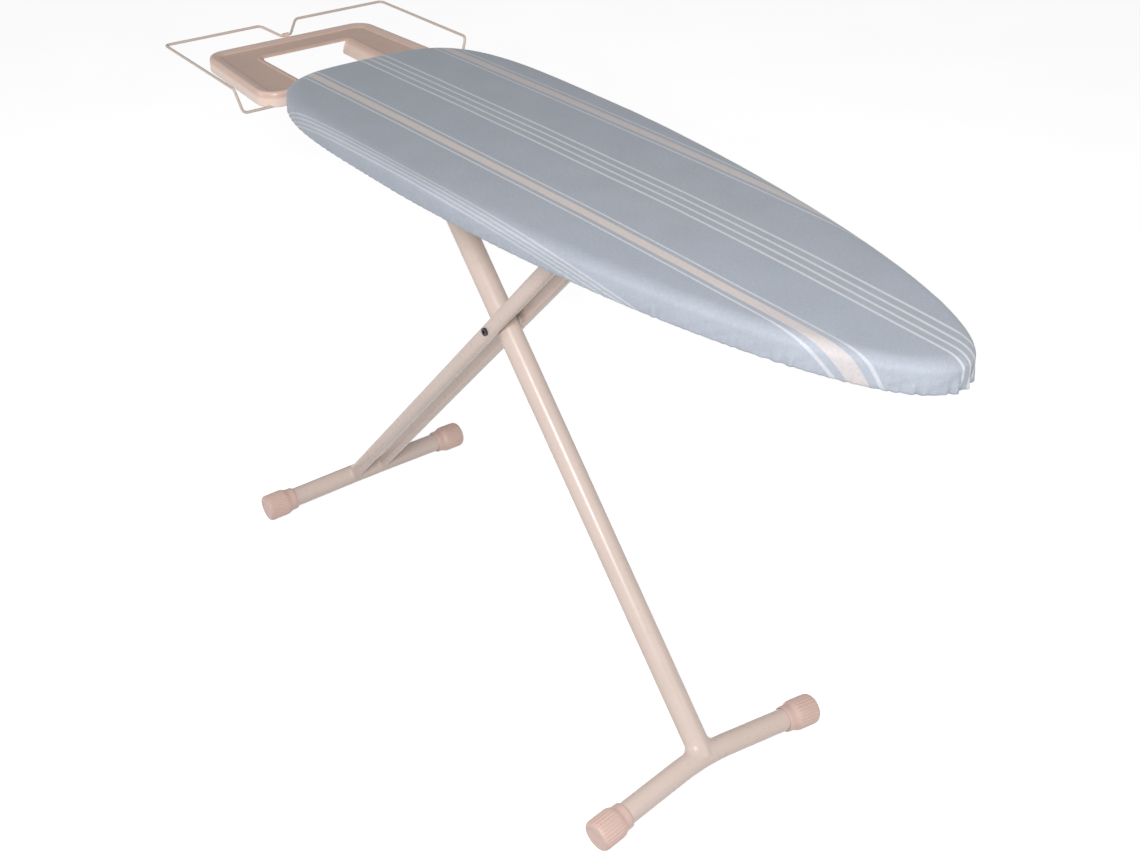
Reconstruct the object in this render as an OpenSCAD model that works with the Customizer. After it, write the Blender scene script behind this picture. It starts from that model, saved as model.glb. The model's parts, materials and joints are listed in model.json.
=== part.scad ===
// Folding ironing board: padded board, iron tray with wire rack, and a scissor of one
// main leg between two slimmer twin tubes. Millimetres, +Z up, +X towards the nose.
// The origin is on the floor, below the middle of the whole object.

/* [Board] */
// Height of the ironing surface above the floor
surface_h = 880; // [860:5:900]
// Length from the nose to the wire rack's rear edge
overall_l = 1500; // [1490:5:1510]
// Length of the covered board
board_l = 1217; // [1205:1:1225]
// Greatest width of the covered board
board_w = 402; // [396:2:410]
// Height of the covered edge, from the top face to the hem
edge_h = 35; // [33:1:38]
// Thickness of the felt pad
pad_t = 7; // [5:1:8]

/* [Legs] */
// Angle of each leg from the vertical
leg_angle = 42.8; // [41:0.2:44]
// Distance from a leg's top axle to the crossing pivot
pivot_a = 362; // [355:1:368]
// Place of the main leg's hinge along the board
hinge_x = -324; // [-330:1:-318]
// Outer diameter of the main leg tube
leg_d = 38; // [36:0.5:38]
// Wider side of each oval twin tube
twin_w = 25; // [24:0.5:26]
// Narrower side of each oval twin tube
twin_t = 18; // [17:0.5:18]
// Distance between the centres of the twin tubes
twin_pitch = 60; // [60:0.5:62]
// Outer diameter of both foot bars
bar_d = 35; // [34:0.5:36]
// Length of a foot, over its two caps
foot_l = 432; // [420:2:440]
// Slope of the front foot bar's arms
front_slope = 6.5; // [6:0.1:7]
// Slope of the rear foot bar's arms
rear_slope = 3.4; // [3:0.1:4]
// Outer diameter of a foot cap
cap_d = 49; // [48:0.5:51]
// Wall of the tubes
tube_wall = 1.5; // [1.2:0.1:2]

/* [Iron rest] */
// Greatest width of the iron tray, beside the board
tray_w = 342; // [336:2:350]
// How much narrower the tray is at its outer end
tray_taper = 30; // [20:2:34]
// Height of the tray's rim below the ironing surface
tray_drop = 32; // [30:1:33]
// Diameter of the rack's wire
wire_d = 4.5; // [4:0.5:5]
// Height of the rack below the ironing surface
rack_drop = 14; // [12:1:16]

/* [Hidden] */
$fn = 64;
sheet = 2;                       // thickness of rails and brackets
skin = 1.2;                      // thickness of the cover and of the panel
slip = 0.3;                      // gap between parts that slide past each other
fit = 0.05;                      // radial clearance of a running fit
over = 1;                        // how far a cutting tool runs past a face

// Board outline: two superellipse halves that meet at the widest place
nose_x = overall_l / 2;
tail_x = nose_x - board_l;
wide_x = tail_x + 0.352 * board_l;
nose_exp = [1.6, 2.0];
tail_exp = [4.3, 3.7];
outline_steps = 34;

// Layers of the board, from the top down
pad_top = surface_h - skin - 0.2;
panel_top = pad_top - pad_t;
panel_low = panel_top - skin;
hem_z = surface_h - edge_h;
rim_low = hem_z + skin + 0.2;

// Leg geometry: both legs hang from the same height, so the board stays level
axle_z = surface_h - 50;
cap_round = 6;
cap_l = 58;
cap_wall = 5.5;                  // thickness of a cap's closed end
bend_half = 50;                  // half the width of a foot bar's bent middle
bend_lap = 1;                    // how far the bend runs on over each straight arm
bend_swell = 0.02;               // how much the bend's wall stands out past the arms' wall
axle_r = 5;
bolt_r = 4;
sleeve_r = 7;
twin_y = twin_pitch / 2;
twin_out = twin_y + twin_t / 2;  // outer face of the twin tubes
twin_in = twin_y - twin_t / 2;
twin_flat = (twin_w - twin_t) / 2; // half the flat side of the oval
twin_axle_x = hinge_x + 2 * pivot_a * sin(leg_angle);
pivot_x = hinge_x + pivot_a * sin(leg_angle);
pivot_z = axle_z - pivot_a * cos(leg_angle);
fold_end = 87.5;                 // leg angle from the vertical when folded
folded_axle_x = hinge_x + 2 * pivot_a * sin(fold_end);
tube_top = 14;                   // how far a tube runs past its top axle

// How far the bar's arm drops below its middle, at the rounding of the cap
function arm_run(slope) =
    (foot_l / 2 - bend_r(slope) * sin(slope)) / cos(slope);
function bend_r(slope) = bend_half / sin(slope);
function cap_drop(slope) =
    bend_r(slope) * (1 - cos(slope)) + (arm_run(slope) - cap_round) * sin(slope);
// Height of the cap's axis over the floor at its rounding, with the bar tilted by the leg
function cap_rest(slope) =
    cap_round + (cap_d / 2 - cap_round) * cos(asin(sin(slope) * cos(leg_angle)));
function leg_len(slope) =
    (axle_z - cap_rest(slope)) / cos(leg_angle) - cap_drop(slope);
front_len = leg_len(front_slope);
rear_len = leg_len(rear_slope);

// Guide rails and the height lever beside the right one
rail_in = twin_out + 2.4;
rail_out = rail_in + sheet;
rail_x0 = twin_axle_x - 34;
rail_x1 = folded_axle_x + 46;
rail_low = axle_z - 14;
lever_x = folded_axle_x + 28;
lever_z = axle_z - 4;
lever_y = rail_out + 6.5;
lever_t = 3;
notch_pitch = 28;
notch_n = 5;
tooth_top = axle_z - axle_r - 1;
lever_low = tooth_top - 17;
tang_x = lever_x + 60;
tang_l = 62;
tang_h = 14;
tang_turn = 32;

// Iron rest
tray_top = surface_h - tray_drop;
tray_face = tray_top - 4;
tray_t = 3;
tray_skirt = 17;
tray_low = tray_top - tray_skirt;
tray_x0 = -overall_l / 2 + 27;
tray_x1 = tail_x - 9;
tray_r = 34;                     // radius of the tray's corners
tray_tilt = atan(tray_taper / 2 / (tray_x1 - tray_x0));
tray_corner_y = (tray_w - tray_taper) / 2 - tray_r / cos(tray_tilt);
window_w = 164;
window_x0 = tray_x0 + 66;
window_x1 = tray_x1 - 30;
support_y = 105;
support_w = 20;
support_t = 3;
support_top = tray_low - 0.2;
support_x0 = tray_x0 + 95;
support_x1 = tail_x + 106;
screw_x = [support_x0 + 14, tray_x1 - 26];
wire_r = wire_d / 2;
rack_z = surface_h - rack_drop;
rack_x0 = -overall_l / 2 + wire_r;
rack_x1 = tail_x - 18;
rack_run_z = support_top - support_t - wire_r - 0.1;
rack_notch_z = tray_top + wire_r + 0.2;

frame_paint = [0.93, 0.86, 0.80];
bare_steel = [0.72, 0.72, 0.72];
plastic = [0.92, 0.80, 0.74];
nylon = [0.95, 0.95, 0.92];

// ---------------------------------------------------------------- helpers

// A quarter of a superellipse with half axes a and b, from the b end to the a end
function quarter(a, b, e) = [for (i = [0:outline_steps])
    let (t = 90 * i / outline_steps) [a * pow(sin(t), 2 / e[0]), b * pow(cos(t), 2 / e[1])]];

function flip(pts) = [for (i = [len(pts) - 1:-1:0]) pts[i]];

// The board's outline, drawn in by a margin
function board_outline(margin) =
    let (nose = quarter(nose_x - wide_x - margin, board_w / 2 - margin, nose_exp),
         tail = quarter(wide_x - tail_x - margin, board_w / 2 - margin, tail_exp),
         side = concat([for (p = flip(tail)) [wide_x - p[0], p[1]]],
                       [for (i = [1:outline_steps]) [wide_x + nose[i][0], nose[i][1]]]))
    concat(side, [for (i = [len(side) - 2:-1:1]) [side[i][0], -side[i][1]]]);

// A slab of the board's outline between two heights
module board_slab(margin, z0, z1) {
    translate([0, 0, z0])
        linear_extrude(z1 - z0)
            polygon(board_outline(margin));
}

// A cylinder along Y, between two places on Y
module bar_y(r, y0, y1) {
    translate([0, y1, 0])
        rotate([90, 0, 0])
            cylinder(r = r, h = y1 - y0);
}

// A ring along Y
module ring_y(r_out, r_in, y0, y1) {
    difference() {
        bar_y(r_out, y0, y1);
        if (r_in > 0)
            bar_y(r_in, y0 - over, y1 + over);
    }
}

// A flat outline in X and Z, extruded along Y
module plate_y(y0, y1) {
    translate([0, y1, 0])
        rotate([90, 0, 0])
            linear_extrude(y1 - y0)
                children();
}

// Rounded rectangle about a centre line on X
module round_rect(x0, x1, half_w, r) {
    translate([x0 + r, r - half_w])
        square([x1 - x0 - 2 * r, 2 * (half_w - r)]);
    translate([x0, r - half_w])
        square([r, 2 * (half_w - r)]);
    translate([x1 - r, r - half_w])
        square([r, 2 * (half_w - r)]);
    translate([x0 + r, -half_w])
        square([x1 - x0 - 2 * r, 2 * half_w]);
    for (x = [x0 + r, x1 - r], y = [r - half_w, half_w - r])
        translate([x, y])
            circle(r);
}

// Copies on both sides of the middle
module both_sides() {
    children();
    mirror([0, 1, 0])
        children();
}

// Puts a leg drawn downwards from its top axle into place
module main_leg_place() {
    translate([hinge_x, 0, axle_z])
        rotate([0, -leg_angle, 0])
            children();
}

module twin_leg_place() {
    translate([twin_axle_x, 0, axle_z])
        rotate([0, leg_angle, 0])
            children();
}

// ---------------------------------------------------------------- board

// Six-sided steam holes in staggered rows, clear of the rim, rails and brackets
module steam_holes() {
    pitch = 46;
    for (ix = [-8:14], iy = [-4:4]) {
        x = ix * pitch + 40;
        y = (iy + (ix % 2 == 0 ? 0 : 0.5)) * pitch * 0.9;
        u = x > wide_x ? (x - wide_x) / (nose_x - wide_x) : (wide_x - x) / (wide_x - tail_x);
        half = board_w / 2 * sqrt(max(0, 1 - pow(u, 1.7)));
        if (abs(y) < half - 34 && abs(abs(y) - rail_out) > 20 && abs(abs(y) - 121) > 18)
            translate([x, y, panel_low - over])
                cylinder(r = 6.5, h = skin + 2 * over, $fn = 6);
    }
}

module board_panel() {
    color(frame_paint)
        difference() {
            board_slab(2.6, rim_low, panel_top);
            board_slab(2.6 + skin, rim_low - over, panel_low);
            steam_holes();
        }
}

module pad() {
    color([0.90, 0.89, 0.86])
        board_slab(1.8, panel_top + 0.1, pad_top);
}

module cover() {
    color([0.62, 0.70, 0.76])
        difference() {
            board_slab(0, hem_z, surface_h);
            board_slab(skin, hem_z + skin, surface_h - skin);
            board_slab(26, hem_z - over, hem_z + skin + over);
        }
}

// Folded channel with its open side up, against the panel
module stiffener_left() {
    x0 = support_x1 + 5;
    x1 = 430;
    color(frame_paint)
        translate([x0, 0, 0])
            rotate([90, 0, 90])
                linear_extrude(x1 - x0)
                    translate([-121, panel_low - 0.1])
                        difference() {
                            translate([-9, -11])
                                square([18, 11]);
                            translate([-7.6, -9.6])
                                square([15.2, 11]);
                        }
}

module stiffener_right() {
    mirror([0, 1, 0])
        stiffener_left();
}

// Slot in which a slide bush runs, as an outline in X and Z
module rail_slot() {
    r = sleeve_r + slip;
    translate([twin_axle_x - 0.5, axle_z - r])
        square([folded_axle_x - twin_axle_x + 1, 2 * r]);
    for (x = [twin_axle_x - 0.5, folded_axle_x + 0.5])
        translate([x, axle_z])
            circle(r);
}

// Upright web with the slot, and a flange under the panel
module rail_web(pin_hole) {
    plate_y(rail_in, rail_out)
        difference() {
            translate([rail_x0, rail_low])
                square([rail_x1 - rail_x0, panel_low - 0.1 - rail_low]);
            rail_slot();
            if (pin_hole)
                translate([lever_x, lever_z])
                    circle(3.05);
        }
    difference() {
        translate([rail_x0, rail_out, panel_low - 0.1 - sheet])
            cube([rail_x1 - rail_x0, 15, sheet]);
        for (x = rail_rivet_x())
            translate([x, rail_out + 9, panel_low - 4])
                cylinder(r = 2.1, h = 6);
    }
}

function rail_rivet_x() = [rail_x0 + 20, (rail_x0 + rail_x1) / 2, rail_x1 - 20];

module guide_rail_left() {
    color(frame_paint)
        mirror([0, 1, 0])
            rail_web(false);
}

module guide_rail_right() {
    color(frame_paint)
        rail_web(true);
}

ear_in = leg_d / 2 + 2.4;
ear_t = 2.5;
bracket_l = 70;
bracket_rivet_x = [-26, 26];

// Two ears hang from a base plate and hold the hinge pin
module hinge_bracket() {
    base_z = panel_low - 0.1 - ear_t;
    color(frame_paint) {
        both_sides()
            plate_y(ear_in, ear_in + ear_t)
                difference() {
                    union() {
                        translate([hinge_x - 22, axle_z])
                            square([44, base_z - axle_z + 0.5]);
                        translate([hinge_x, axle_z])
                            circle(13.5);
                        translate([hinge_x - 13.5, axle_z])
                            square([27, 10]);
                    }
                    translate([hinge_x, axle_z])
                        circle(axle_r + 0.02);
                }
        difference() {
            translate([hinge_x - bracket_l / 2, -ear_in - 14, base_z])
                cube([bracket_l, 2 * ear_in + 28, ear_t]);
            for (x = bracket_rivet_x, y = [-1, 1])
                translate([hinge_x + x, y * (ear_in + 9), base_z - over])
                    cylinder(r = 2.1, h = ear_t + 2 * over);
        }
    }
}

pin_half = ear_in + ear_t + 4;

module hinge_pin() {
    color(bare_steel)
        translate([hinge_x, 0, axle_z])
            bar_y(axle_r, -pin_half, pin_half);
}

// Push-on caps that keep the hinge pin in its ears
module hinge_pin_caps() {
    color(bare_steel)
        translate([hinge_x, 0, axle_z])
            both_sides()
                difference() {
                    bar_y(8, ear_in + ear_t + 0.1, pin_half + 1.5);
                    bar_y(axle_r + fit, ear_in, pin_half + 0.1);
                }
}

// Rivets of the rails and of the hinge bracket, all alike
module frame_rivets() {
    color(bare_steel) {
        for (x = rail_rivet_x(), s = [-1, 1])
            translate([x, s * (rail_out + 9), panel_low - 0.2 - sheet])
                rivet(sheet);
        for (x = bracket_rivet_x, s = [-1, 1])
            translate([hinge_x + x, s * (ear_in + 9), panel_low - 0.2 - ear_t])
                rivet(ear_t);
    }
}

// Head below the sheet and a shank up to the panel
module rivet(shank) {
    mirror([0, 0, 1])
        rotate_extrude()
            polygon([[0, 0], [4.2, 0], [3.6, 1.1], [2.2, 1.9], [0, 2.1]]);
    cylinder(r = 2, h = shank);
}

// ---------------------------------------------------------------- iron rest

// Steel bar that steps down from the panel and runs back under the tray
module tray_support_left() {
    zt = support_top;
    up = panel_low - 0.1;
    step = 26;
    x_flat = support_x1 - 34;
    color(frame_paint)
        difference() {
            plate_y(-support_y - support_w / 2, -support_y + support_w / 2)
                polygon([[support_x0, zt - support_t], [x_flat - step, zt - support_t],
                    [x_flat, up - support_t], [support_x1, up - support_t], [support_x1, up],
                    [x_flat - 1, up], [x_flat - step - 1, zt], [support_x0, zt]]);
            for (x = screw_x)
                translate([x, -support_y, zt - support_t - over])
                    cylinder(r = 2.15, h = support_t + 2 * over);
        }
}

module tray_support_right() {
    mirror([0, 1, 0])
        tray_support_left();
}

// One rounded corner of the tray on the +Y side, about a centre at x
function tray_corner(x, from, to, margin) =
    [for (i = [0:8])
        let (t = from + (to - from) * i / 8)
        [x + (tray_r - margin) * cos(t),
         tray_corner_y + (x - tray_x0) * tan(tray_tilt) + (tray_r - margin) * sin(t)]];

// Tray outline with tapering sides, drawn in by a margin
module tray_outline(margin) {
    half = concat(tray_corner(tray_x1 - tray_r, 0, 90 + tray_tilt, margin),
        tray_corner(tray_x0 + tray_r, 90 + tray_tilt, 180, margin));
    polygon(concat(half, [for (p = flip(half)) [p[0], -p[1]]]));
}

// Wall under one long side of the window, leaning in towards the middle
module window_wall() {
    lean = 14;
    depth = 20;
    y = window_w / 2;
    translate([window_x0, 0, 0])
        rotate([90, 0, 90])
            linear_extrude(window_x1 - window_x0)
                polygon([[y, tray_face - 1], [y - lean, tray_face - depth],
                    [y - lean + 2.5, tray_face - depth], [y + 2.5, tray_face - 1]]);
}

// Shallow moulded tray: recessed face, raised rim, hanging skirt, window and screw bosses
module iron_tray() {
    color([0.66, 0.53, 0.48])
        difference() {
            union() {
                difference() {
                    translate([0, 0, tray_low])
                        linear_extrude(tray_skirt)
                            tray_outline(0);
                    translate([0, 0, tray_face])
                        linear_extrude(tray_skirt)
                            tray_outline(9);
                    translate([0, 0, tray_low - over])
                        linear_extrude(tray_face - tray_t - tray_low + over)
                            tray_outline(3);
                    translate([0, 0, tray_low - over])
                        linear_extrude(tray_skirt + 2 * over)
                            round_rect(window_x0, window_x1, window_w / 2, 9);
                }
                both_sides()
                    window_wall();
                for (x = screw_x, y = [-support_y, support_y])
                    translate([x, y, tray_low])
                        cylinder(r = 5.5, h = tray_face - tray_t - tray_low);
            }
            for (x = screw_x, y = [-support_y, support_y])
                translate([x, y, tray_low - over])
                    cylinder(r = 2.05, h = 12);
        }
}

// Pan-head screws that go up through the supports into the tray's bosses
module tray_screws() {
    head_z = support_top - support_t - 0.1;
    color(bare_steel)
        for (x = screw_x, y = [-support_y, support_y])
            translate([x, y, head_z]) {
                cylinder(r = 2, h = 12);
                translate([0, 0, -2.4])
                    difference() {
                        cylinder(r = 4, h = 2.4);
                        translate([-3, -0.5, -over])
                            cube([6, 1, over + 0.9]);
                        translate([-0.5, -3, -over])
                            cube([1, 6, over + 0.9]);
                    }
            }
}

// Corners of half of the rack's wire, from the end under the tray to the notch's middle. The
// fourth number says how far from the corner its bend starts
rack_half = [[rack_x1, -support_y + 15, rack_run_z, 0], [rack_x1, -202, rack_run_z, 8],
    [rack_x1, -213, rack_z, 8], [rack_x0, -207, rack_z, 9], [rack_x0, -34, rack_z, 7],
    [rack_x0 + 26, -9, rack_notch_z, 3.8]];
rack_corners = concat(rack_half, [for (p = flip(rack_half)) [p[0], -p[1], p[2], p[3]]]);
bend_steps = 5;

// Points of a rounded corner b between a and c: an arc-like curve tangent to both sides
function corner(a, b, c, r) =
    r == 0 ? [b] :
    [for (i = [0:bend_steps])
        let (t = i / bend_steps,
             p = b + r * (a - b) / norm(a - b),
             q = b + r * (c - b) / norm(c - b))
        (1 - t) * (1 - t) * p + 2 * t * (1 - t) * b + t * t * q];

function place(p) = [p[0], p[1], p[2]];
rack_path = [for (i = [0:len(rack_corners) - 1])
    let (n = len(rack_corners) - 1, k = rack_corners[i])
    each corner(place(rack_corners[max(0, i - 1)]), place(k), place(rack_corners[min(n, i + 1)]),
        k[3])];

// Round wire swept along a path, with its first side square to the previous ring's plane
module wire_sweep(path, r, sides) {
    n = len(path);
    dir = [for (i = [0:n - 1])
        let (d = path[min(n - 1, i + 1)] - path[max(0, i - 1)]) d / norm(d)];
    side = carry(dir, [0, 0, 1], 0);
    points = [for (i = [0:n - 1])
        let (u = side[i], v = cross(dir[i], u))
        for (k = [0:sides - 1])
            path[i] + r * (cos(360 * k / sides) * u + sin(360 * k / sides) * v)];
    tube_skin(points, n, sides);
}

// Carries a side vector along the directions without letting it twist
function carry(dir, u, i) =
    i >= len(dir) ? [] :
    let (w = u - (u * dir[i]) * dir[i], f = w / norm(w))
    concat([f], carry(dir, f, i + 1));

// Skin over rings of points, closed at both ends
module tube_skin(points, rings, sides) {
    walls = [for (i = [0:rings - 2], k = [0:sides - 1])
        let (a = i * sides + k, b = i * sides + (k + 1) % sides)
        [a, a + sides, b + sides, b]];
    ends = [[for (k = [0:sides - 1]) k],
        [for (k = [sides - 1:-1:0]) (rings - 1) * sides + k]];
    polyhedron(points, concat(walls, ends));
}

module wire_rack() {
    color([0.88, 0.84, 0.80])
        wire_sweep(rack_path, wire_r, 12);
}

// Saddles bent from strip that hold the rack's ends up against the supports
module rack_clips() {
    top = support_top - support_t - 0.05 - rack_run_z;
    r = wire_r + 0.1;
    strip = 1.2;
    out = r + strip;
    color(bare_steel)
        both_sides()
            plate_y(-support_y - 6, -support_y + 6)
                translate([rack_x1, rack_run_z])
                    polygon([[-out, top], [-out, -1.5], [-1.5, -out], [1.5, -out], [out, -1.5],
                        [out, top - strip], [13, top - strip], [13, top], [r, top], [r, -1],
                        [1, -r], [-1, -r], [-r, -1], [-r, top]]);
}

// Small saddle on the tray's rear rim, over the bottom of the rack's notch
module rack_rear_clip() {
    x = rack_x0 + 26;
    r_in = wire_r + 0.1;
    r_out = r_in + 1.6;
    z = rack_notch_z;
    foot = tray_top + 0.05;
    color([0.66, 0.53, 0.48])
        plate_y(-5, 5)
            difference() {
                union() {
                    translate([x, z])
                        circle(r_out);
                    translate([x - r_out, foot])
                        square([2 * r_out, z - foot]);
                }
                translate([x, z])
                    circle(r_in);
                translate([x - 2 * r_out, foot - 2 * r_out])
                    square([4 * r_out, 2 * r_out]);
            }
}

// ---------------------------------------------------------------- main leg

// Bent middle of a foot bar, in the plane Y and Z with its middle at the origin
module bar_bend(slope, r_out, r_in) {
    rb = bend_r(slope);
    half = slope + bend_lap / rb * 180 / PI;
    translate([0, 0, -rb])
        rotate([0, -90, 0])
            rotate([0, 0, -half])
                rotate_extrude(angle = 2 * half)
                    translate([rb, 0])
                        difference() {
                            circle(r_out);
                            if (r_in > 0)
                                circle(r_in);
                        }
}

// Hollow foot bar: a bent middle and a straight arm that drops on each side
module foot_bar(slope) {
    r_in = bar_d / 2 - tube_wall;
    bar_bend(slope, bar_d / 2 + bend_swell, r_in - bend_swell);
    both_sides()
        arm_place(slope)
            difference() {
                cylinder(r = bar_d / 2, h = arm_run(slope) - cap_wall - 0.5);
                translate([0, 0, -over])
                    cylinder(r = r_in, h = arm_run(slope));
            }
}

// Moves to the start of the left arm, with +Z along it towards the cap
module arm_place(slope) {
    rb = bend_r(slope);
    translate([0, -rb * sin(slope), -rb * (1 - cos(slope))])
        rotate([90 + slope, 0, 0])
            children();
}

// Ribbed cap: plain collar, flare, fluted body and a rounded end, over the bar's end
module foot_cap(slope) {
    body_r = cap_d / 2;
    flutes = 26;
    flute_from = 20;
    flute_to = cap_l - cap_round - 1;
    bore = bar_d / 2 + 2 * fit;
    arm_place(slope)
        translate([0, 0, arm_run(slope) - cap_l])
            difference() {
                rotate_extrude($fn = 96) {
                    polygon([[bore, 0], [bore + 2.2, 0], [bore + 3, 1], [bore + 3, 12],
                        [body_r - 1.2, 19], [body_r, 23], [body_r, cap_l - cap_round],
                        [body_r - cap_round, cap_l], [0, cap_l], [0, cap_l - cap_wall],
                        [bore, cap_l - cap_wall]]);
                    translate([body_r - cap_round, cap_l - cap_round])
                        intersection() {
                            circle(cap_round);
                            square(cap_round);
                        }
                }
                for (i = [0:flutes - 1])
                    rotate([0, 0, (i + 0.5) * 360 / flutes])
                        translate([body_r + 0.9, 0, flute_from])
                            cylinder(r = 1.9, h = flute_to - flute_from, $fn = 16);
            }
}

// Round outline with two flat sides: flat is half the length of the flats
module oval(r, flat) {
    for (x = [-flat, flat])
        translate([x, 0])
            circle(r);
    if (flat > 0)
        translate([-flat, -r])
            square([2 * flat, 2 * r]);
}

// Tube hanging from its top axle, with its lower end open
module leg_tube(r, flat, length) {
    translate([0, 0, -length])
        linear_extrude(length + tube_top)
            difference() {
                oval(r, flat);
                oval(r - tube_wall, flat);
            }
}

module main_leg_tube() {
    color(frame_paint)
        main_leg_place()
            difference() {
                leg_tube(leg_d / 2, 0, front_len);
                translate([0, 0, -front_len])
                    bar_bend(front_slope, bar_d / 2 + bend_swell + fit, 0);
                bar_y(sleeve_r + fit, -leg_d, leg_d);
                translate([0, 0, -pivot_a])
                    bar_y(sleeve_r + fit, -leg_d, leg_d);
            }
}

module front_foot_bar() {
    color(frame_paint)
        main_leg_place()
            translate([0, 0, -front_len])
                foot_bar(front_slope);
}

module front_cap_left() {
    color(plastic)
        main_leg_place()
            translate([0, 0, -front_len])
                foot_cap(front_slope);
}

module front_cap_right() {
    color(plastic)
        mirror([0, 1, 0])
            front_cap_left();
}

// Flanged bushes in the leg's walls, on which the leg turns about the hinge pin
module hinge_bushes() {
    color(nylon)
        main_leg_place()
            both_sides() {
                ring_y(sleeve_r, axle_r + fit, leg_d / 2 - 7, leg_d / 2 + 0.2);
                ring_y(10, axle_r + fit, leg_d / 2 + 0.1, leg_d / 2 + 2.1);
            }
}

// Stepped plug in a tube's open top
module tube_plug(r, flat) {
    for (part = [[tube_wall + fit, -4, 4.1], [0.2, 0.1, 1.2], [1.4, 1.3, 0.9]])
        translate([0, 0, tube_top + part[1]])
            linear_extrude(part[2])
                oval(r - part[0], flat);
}

module main_leg_plug() {
    color(plastic)
        main_leg_place()
            tube_plug(leg_d / 2, 0);
}

module pivot_sleeve() {
    color(bare_steel)
        main_leg_place()
            translate([0, 0, -pivot_a])
                ring_y(sleeve_r, bolt_r + fit, -leg_d / 2 - 0.8, leg_d / 2 + 0.8);
}

// ---------------------------------------------------------------- twin leg

module twin_tube_left() {
    color(frame_paint)
        twin_leg_place()
            difference() {
                translate([0, -twin_y, 0])
                    leg_tube(twin_t / 2, twin_flat, rear_len);
                translate([0, 0, -rear_len])
                    bar_bend(rear_slope, bar_d / 2 + bend_swell + fit, 0);
                bar_y(axle_r + 0.02, -twin_out - over, 0);
                translate([0, 0, -pivot_a])
                    bar_y(bolt_r + 0.02, -twin_out - over, 0);
            }
}

module twin_tube_right() {
    mirror([0, 1, 0])
        twin_tube_left();
}

module rear_foot_bar() {
    color(frame_paint)
        twin_leg_place()
            translate([0, 0, -rear_len])
                foot_bar(rear_slope);
}

module rear_cap_left() {
    color(plastic)
        twin_leg_place()
            translate([0, 0, -rear_len])
                foot_cap(rear_slope);
}

module rear_cap_right() {
    color(plastic)
        twin_leg_place()
            translate([0, 0, -rear_len])
                rotate([0, 0, 180])
                    foot_cap(rear_slope);
}

// Socket-head bolt through both twin tubes and the main leg's sleeve
module pivot_bolt() {
    color(bare_steel)
        twin_leg_place()
            translate([0, 0, -pivot_a])
                difference() {
                    union() {
                        bar_y(bolt_r, -twin_out - 1, twin_out + 5);
                        bar_y(6.5, -twin_out - 3.6, -twin_out - 0.1);
                    }
                    translate([0, -twin_out - 1, 0])
                        rotate([90, 0, 0])
                            cylinder(r = 3.4, h = 4, $fn = 6);
                }
}

module pivot_nut() {
    color(bare_steel)
        twin_leg_place()
            translate([0, 0, -pivot_a])
                difference() {
                    union() {
                        translate([0, twin_out + 6.1, 0])
                            rotate([90, 0, 0])
                                cylinder(r = 7.5, h = 6, $fn = 6);
                        translate([0, twin_out + 6.1, 0])
                            rotate([-90, 0, 0])
                                rotate_extrude()
                                    polygon([[0, -1], [6, -1], [6, 0], [4.8, 1.6], [2.6, 2.6], [0, 3]]);
                    }
                    bar_y(bolt_r + 0.02, twin_out, twin_out + 5.1);
                }
}

// Nylon washers between the main leg and each twin tube
module pivot_washers() {
    color(nylon)
        twin_leg_place()
            translate([0, 0, -pivot_a])
                both_sides()
                    ring_y(10, bolt_r + 0.1, leg_d / 2 + 0.9, twin_in - 0.1);
}

axle_left = rail_out + 5.2;
axle_right = lever_y + lever_t + 6;

module slide_axle() {
    color(bare_steel)
        twin_leg_place()
            bar_y(axle_r, -axle_left, axle_right);
}

module axle_sleeve() {
    color(frame_paint)
        twin_leg_place()
            ring_y(sleeve_r, axle_r + 0.02, -twin_in + 0.1, twin_in - 0.1);
}

// Flanged nylon bushes that run in the rails' slots
module slide_bushes() {
    color(nylon)
        twin_leg_place()
            both_sides() {
                ring_y(sleeve_r, axle_r + fit, twin_out + 0.1, rail_out + 1.2);
                ring_y(10, axle_r + fit, twin_out + 0.1, rail_in - slip);
            }
}

// Push-on washers outside the bushes, and an end cap on the lever's side
module axle_caps() {
    color(bare_steel)
        twin_leg_place() {
            both_sides()
                ring_y(9.5, axle_r + 0.02, rail_out + 1.3, rail_out + 2.5);
            ring_y(8, axle_r + 0.02, -axle_left - 0.5, -axle_left + 1.8);
            ring_y(8, axle_r + 0.02, axle_right - 2, axle_right + 0.5);
        }
}

module twin_tube_plugs() {
    color(plastic)
        twin_leg_place()
            both_sides()
                translate([0, -twin_y, 0])
                    tube_plug(twin_t / 2, twin_flat);
}

// ---------------------------------------------------------------- height lever

// Sawtooth edge whose notches take the axle at each height
module tooth_row() {
    for (i = [0:notch_n])
        translate([twin_axle_x + (i - 0.5) * notch_pitch, tooth_top])
            polygon([[-4, -12], [5, -12], [3, 0], [-1, 0], [-4, -6]]);
}

// Plate beside the right rail: notched arm, pivot eye and a tang that turns outwards
module lever_plate() {
    x0 = twin_axle_x - 0.5 * notch_pitch - 4;
    along = [cos(tang_turn), sin(tang_turn)];
    across = [-sin(tang_turn), cos(tang_turn)];
    outer = [tang_x, lever_y];
    color(bare_steel) {
        plate_y(lever_y, lever_y + lever_t)
            difference() {
                union() {
                    tooth_row();
                    translate([x0, lever_low])
                        square([lever_x - x0, 10]);
                    translate([lever_x, lever_z])
                        circle(10);
                    translate([lever_x - 10, lever_low])
                        square([20, lever_z - lever_low]);
                    translate([lever_x, lever_low])
                        square([tang_x - lever_x, tang_h]);
                }
                translate([lever_x, lever_z])
                    circle(3.05);
            }
        translate([0, 0, lever_low])
            linear_extrude(tang_h)
                polygon([outer - [2, 0], outer, outer + tang_l * along,
                    outer + tang_l * along + lever_t * across,
                    outer + lever_t * [-tan(tang_turn / 2), 1], outer + [-2, lever_t]]);
    }
}

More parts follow.
